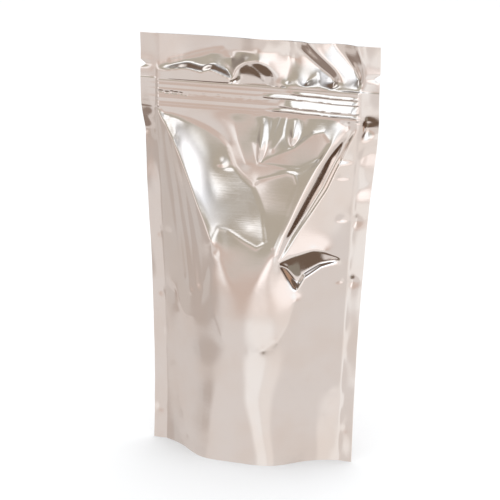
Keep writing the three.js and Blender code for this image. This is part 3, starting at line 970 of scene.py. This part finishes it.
# Light tent round the pouch, by compass direction (0 is ahead of the front face, + to its right)
# and height above the horizon, in degrees: name, colour, from, to, low, high, soft edges.
TENT = [
    ("floor left", (0.68, 0.62, 0.585), -200, -45, -90, -8, 16, 10),
    ("low wall left", (0.54, 0.47, 0.43), -200, -45, -17.8, 8, 14, 3),
    ("low strip left", (0.61, 0.555, 0.52), -92, -73, -17.8, 8, 5, 3),
    ("floor ahead", (0.93, 0.89, 0.86), -8, 20, -30, -8, 10, 8),
    ("floor right", (0.86, 0.80, 0.76), 20, 40, -30, -8, 8, 8),
    ("near floor", (0.16, 0.11, 0.08), -200, 200, -64, -36, 20, 8),
    ("near floor right", (0.27, 0.235, 0.19), 8, 36, -64, -34, 6, 6),
    ("near floor left", (0.30, 0.235, 0.20), -130, -42, -64, -28, 10, 5),
    ("right flag low", (0.10, 0.06, 0.04), 66, 110, -50, -25.5, 8, 4),
    ("horizon", (0.64, 0.52, 0.46), -60, 60, -8, 6, 20, 8),
    ("pale left wall", (0.98, 0.93, 0.90), -52, -28, -5, 6, 12, 6),
    ("walls", (0.49, 0.445, 0.375), -200, 200, 8, 100, 20, 8),
    ("dim wall", (0.30, 0.28, 0.26), -200, 200, 27, 100, 20, 14),
    ("dark left wall", (0.27, 0.23, 0.20), -120, -50, 8, 60, 16, 8),
    ("ceiling", (0.17, 0.12, 0.09), -200, 200, 47, 100, 20, 14),
    ("right flag", (0.12, 0.075, 0.05), 62, 92, -6, 60, 14, 10),
    ("right wood", (0.45, 0.28, 0.19), 92, 132, -30, 60, 14, 10),
    ("left flag", (0.30, 0.20, 0.14), -135, -106, -12, 60, 16, 14),
    ("key surround", (0.34, 0.355, 0.38), -2, 66, 10, 50, 40, 16),
    ("back sweep right", (1.0, 0.98, 0.96), 140, 200, -40, 55, 18, 18),
    ("back sweep left", (1.0, 0.98, 0.96), -200, -140, -40, 55, 18, 18),
]
TENT_GROUND = (0.745, 0.685, 0.65)
# Softboxes add their light to the tent's, in the same columns.
SOFTBOXES = [
    ("key", (1.5, 1.55, 1.62), 8, 58, 15, 42, 44, 20),
    ("side", (0.45, 0.48, 0.50), 18, 48, -7, 13, 12, 7),
    ("strip", (0.60, 0.64, 0.67), -7, 14, -6, 17, 12, 8),
    ("high strip", (0.85, 0.9, 0.95), -28, -8, 24, 36, 8, 5),
    ("fill", (1.0, 1.0, 1.0), -66, -44, 30, 58, 12, 12),
    ("back key", (1.6, 1.6, 1.6), -200, -165, 25, 60, 16, 14),
]


def build_tent(look):
    """World light: plain walls, flags and softboxes with soft edges for the film to mirror, and
    plain white for the camera and the floor."""
    world = bpy.data.worlds.new("light_tent")
    bpy.context.scene.world = world
    world.use_nodes = True
    nodes = Nodes(world.node_tree)
    ray = nodes.add("ShaderNodeTexCoord").outputs["Generated"]
    split = nodes.add("ShaderNodeSeparateXYZ", inputs={0: ray})
    x, y, z = split.outputs
    degrees = 180 / math.pi
    turn = nodes.math("MULTIPLY", nodes.math("ARCTAN2", x, nodes.math("MULTIPLY", y, -1.0)), degrees)
    tilt = nodes.math("MULTIPLY", nodes.math("ARCSINE", z), degrees)

    def window(low_turn, high_turn, low_tilt, high_tilt, soft_turn, soft_tilt):
        """1 within a part of the sky and 0 outside it."""
        mask = None
        for value, low, high, soft in (
            (turn, low_turn, high_turn, soft_turn),
            (tilt, low_tilt, high_tilt, soft_tilt),
        ):
            up = nodes.spread(value, low - soft / 2, low + soft / 2)
            down = nodes.spread(value, high - soft / 2, high + soft / 2, 1.0, 0.0)
            both = nodes.math("MULTIPLY", up, down)
            mask = both if mask is None else nodes.math("MULTIPLY", mask, both)
        return mask

    colour = (*TENT_GROUND, 1)
    for _name, shade, *edges in TENT:
        colour = nodes.blend(window(*edges), colour, (*shade, 1))
    for _name, shade, *edges in SOFTBOXES:
        box = nodes.blend(window(*edges), (0, 0, 0, 1), (*shade, 1))
        add = nodes.add("ShaderNodeVectorMath", operation="ADD", inputs={0: colour, 1: box})
        colour = add.outputs[0]
    path = nodes.add("ShaderNodeLightPath").outputs
    plain = nodes.math("MAXIMUM", path["Is Camera Ray"], path["Is Diffuse Ray"])
    colour = nodes.blend(plain, colour, (1, 1, 1, 1))
    shader = nodes.add("ShaderNodeBackground", inputs={"Color": colour, "Strength": look.tent_strength})
    nodes.finish(shader, "ShaderNodeOutputWorld")


def build_floor(look):
    """A wide pale floor; the film mirrors the tent and not the floor."""
    skin = Skin()
    span = np.linspace(-FLOOR_REACH, FLOOR_REACH, 9)
    wide, deep = np.meshgrid(span, span)
    skin.add_sheet(skin.add_points(wide, deep, 0 * wide - FLOOR_DROP))
    floor = skin.build("studio_floor")
    material, nodes, place = new_material("studio_floor")
    grain = nodes.add("ShaderNodeTexNoise", inputs={"Vector": place, "Scale": 60.0}).outputs["Fac"]
    darker = [FLOOR_GRAIN * channel for channel in look.floor_colour]
    tint = nodes.blend(grain, (*darker, 1), (*look.floor_colour, 1))
    nodes.finish(nodes.add("ShaderNodeBsdfPrincipled", inputs={"Base Color": tint, "Roughness": 0.9}))
    floor.data.materials.append(material)
    floor.visible_glossy = False


def build_overhead(look):
    """A broad lamp overhead lights the floor; the film mirrors the tent and not the lamp."""
    data = bpy.data.lights.new("overhead", "AREA")
    data.shape = "RECTANGLE"
    data.size = OVERHEAD_SIZE
    data.size_y = OVERHEAD_SIZE
    data.energy = look.overhead_power
    lamp = bpy.data.objects.new("overhead", data)
    lamp.location = OVERHEAD_PLACE
    lamp.visible_glossy = False
    bpy.context.scene.collection.objects.link(lamp)


CAMERA_TURN = 18.0
CAMERA_TILT = 15.9
CAMERA_ROLL = 0.77
CAMERA_DISTANCE = 0.957
CAMERA_TARGET = (-0.0027, 0.0, 0.1123)
CAMERA_LENS = 129.6
CAMERA_SENSOR = 36.0


def build_camera():
    """A long lens at the photograph's viewing angle."""
    turn, tilt, roll = (math.radians(angle) for angle in (CAMERA_TURN, CAMERA_TILT, CAMERA_ROLL))
    back = Vector((math.sin(turn) * math.cos(tilt), -math.cos(turn) * math.cos(tilt), math.sin(tilt)))
    right = Vector((math.cos(turn), math.sin(turn), 0))
    up = back.cross(right)
    tilted_right = right * math.cos(roll) + up * math.sin(roll)
    tilted_up = up * math.cos(roll) - right * math.sin(roll)
    data = bpy.data.cameras.new("photo_camera")
    data.lens = CAMERA_LENS
    data.sensor_width = CAMERA_SENSOR
    data.sensor_fit = "HORIZONTAL"
    data.clip_end = 50
    camera = bpy.data.objects.new("photo_camera", data)
    bpy.context.scene.collection.objects.link(camera)
    turned = Matrix((tilted_right, tilted_up, back)).transposed().to_4x4()
    camera.matrix_world = Matrix.Translation(Vector(CAMERA_TARGET) + back * CAMERA_DISTANCE) @ turned
    bpy.context.scene.camera = camera


# ---- Settings, operators and panel ----
class PouchLook(bpy.types.PropertyGroup):
    """Sizes, colours and lights that a user may change."""

    film_thickness: FloatProperty(
        name="Film thickness",
        description="Drawn thickness of one film",
        unit="LENGTH",
        precision=5,
        min=0.00005,
        max=0.0005,
        default=0.00025,
    )
    lip_gap: FloatProperty(
        name="Lip gap",
        description="How far the two top lips hang apart where they are widest",
        unit="LENGTH",
        precision=5,
        min=0,
        max=0.005,
        default=0.0022,
    )
    film_colour: FloatVectorProperty(
        name="Film colour",
        description="Colour of the metallised film",
        subtype="COLOR",
        min=0,
        max=1,
        default=(0.90, 0.87, 0.855),
    )
    film_roughness: FloatProperty(
        name="Film roughness",
        description="How blurred the film's reflections are",
        subtype="FACTOR",
        min=0,
        max=1,
        default=0.07,
    )
    floor_colour: FloatVectorProperty(
        name="Floor colour",
        description="Colour of the studio floor",
        subtype="COLOR",
        min=0,
        max=1,
        default=(0.95, 0.96, 0.97),
    )
    tent_strength: FloatProperty(
        name="Tent light",
        description="Brightness of the light tent that the film mirrors",
        min=0,
        soft_max=3,
        default=1.0,
    )
    overhead_power: FloatProperty(
        name="Overhead lamp",
        description="Power of the lamp that lights the floor",
        unit="POWER",
        min=0,
        default=12.0,
    )


class POUCH_OT_film(bpy.types.Operator):
    """Build the film of the pouch with its seals, lips, folds and base web"""

    bl_idname = "pouch.film"
    bl_label = "Pouch film"

    def execute(self, context):
        look = context.scene.pouch_look
        if POUCH_WIDTH < BASE_WIDTH or POUCH_HEIGHT < NOTCH_UP + NOTCH_SIZE:
            raise RuntimeError("the pouch node is too small for this film")
        piece = build_film(Grid(look.film_thickness / MM, look.lip_gap / MM))
        finish_piece(piece, "pouch", film_material(look), FILM_SHARP_DEG)
        return {"FINISHED"}


class POUCH_OT_zip(bpy.types.Operator):
    """Build the press-to-close zip between the lips"""

    bl_idname = "pouch.zip_strip"
    bl_label = "Zip strip"

    def execute(self, context):
        look = context.scene.pouch_look
        if POUCH_HEIGHT < ZIP_HIGH:
            raise RuntimeError("the pouch node is too low for its zip")
        piece = build_zip(Grid(look.film_thickness / MM, look.lip_gap / MM))
        finish_piece(piece, "zip_strip", zip_material(), ZIP_SHARP_DEG)
        return {"FINISHED"}


class POUCH_OT_studio(bpy.types.Operator):
    """Build the floor, the light tent, the lamp and the camera"""

    bl_idname = "pouch.studio"
    bl_label = "Studio"

    def execute(self, context):
        look = context.scene.pouch_look
        build_tent(look)
        build_floor(look)
        build_overhead(look)
        build_camera()
        if context.scene.world is None or context.scene.camera is None:
            raise RuntimeError("the studio has no world or no camera")
        return {"FINISHED"}


class POUCH_PT_sidebar(bpy.types.Panel):
    """All settings and a button for every part."""

    bl_idname = "POUCH_PT_sidebar"
    bl_label = "Pouch"
    bl_space_type = "VIEW_3D"
    bl_region_type = "UI"
    bl_category = "Pouch"

    def draw(self, context):
        look = context.scene.pouch_look
        layout = self.layout
        for name in look.bl_rna.properties.keys():
            if name not in ("rna_type", "name"):
                layout.prop(look, name)
        for operator in ("pouch.film", "pouch.zip_strip", "pouch.studio"):
            layout.operator(operator)


CLASSES = (PouchLook, POUCH_OT_film, POUCH_OT_zip, POUCH_OT_studio, POUCH_PT_sidebar)


def register():
    for entry in CLASSES:
        bpy.utils.register_class(entry)
    bpy.types.Scene.pouch_look = PointerProperty(type=PouchLook)


def unregister():
    del bpy.types.Scene.pouch_look
    for entry in reversed(CLASSES):
        bpy.utils.unregister_class(entry)


def main():
    register()
    bpy.context.scene.view_settings.view_transform = "Standard"
    bpy.ops.pouch.film()
    bpy.ops.pouch.zip_strip()
    bpy.ops.pouch.studio()


if __name__ == "__main__":
    main()
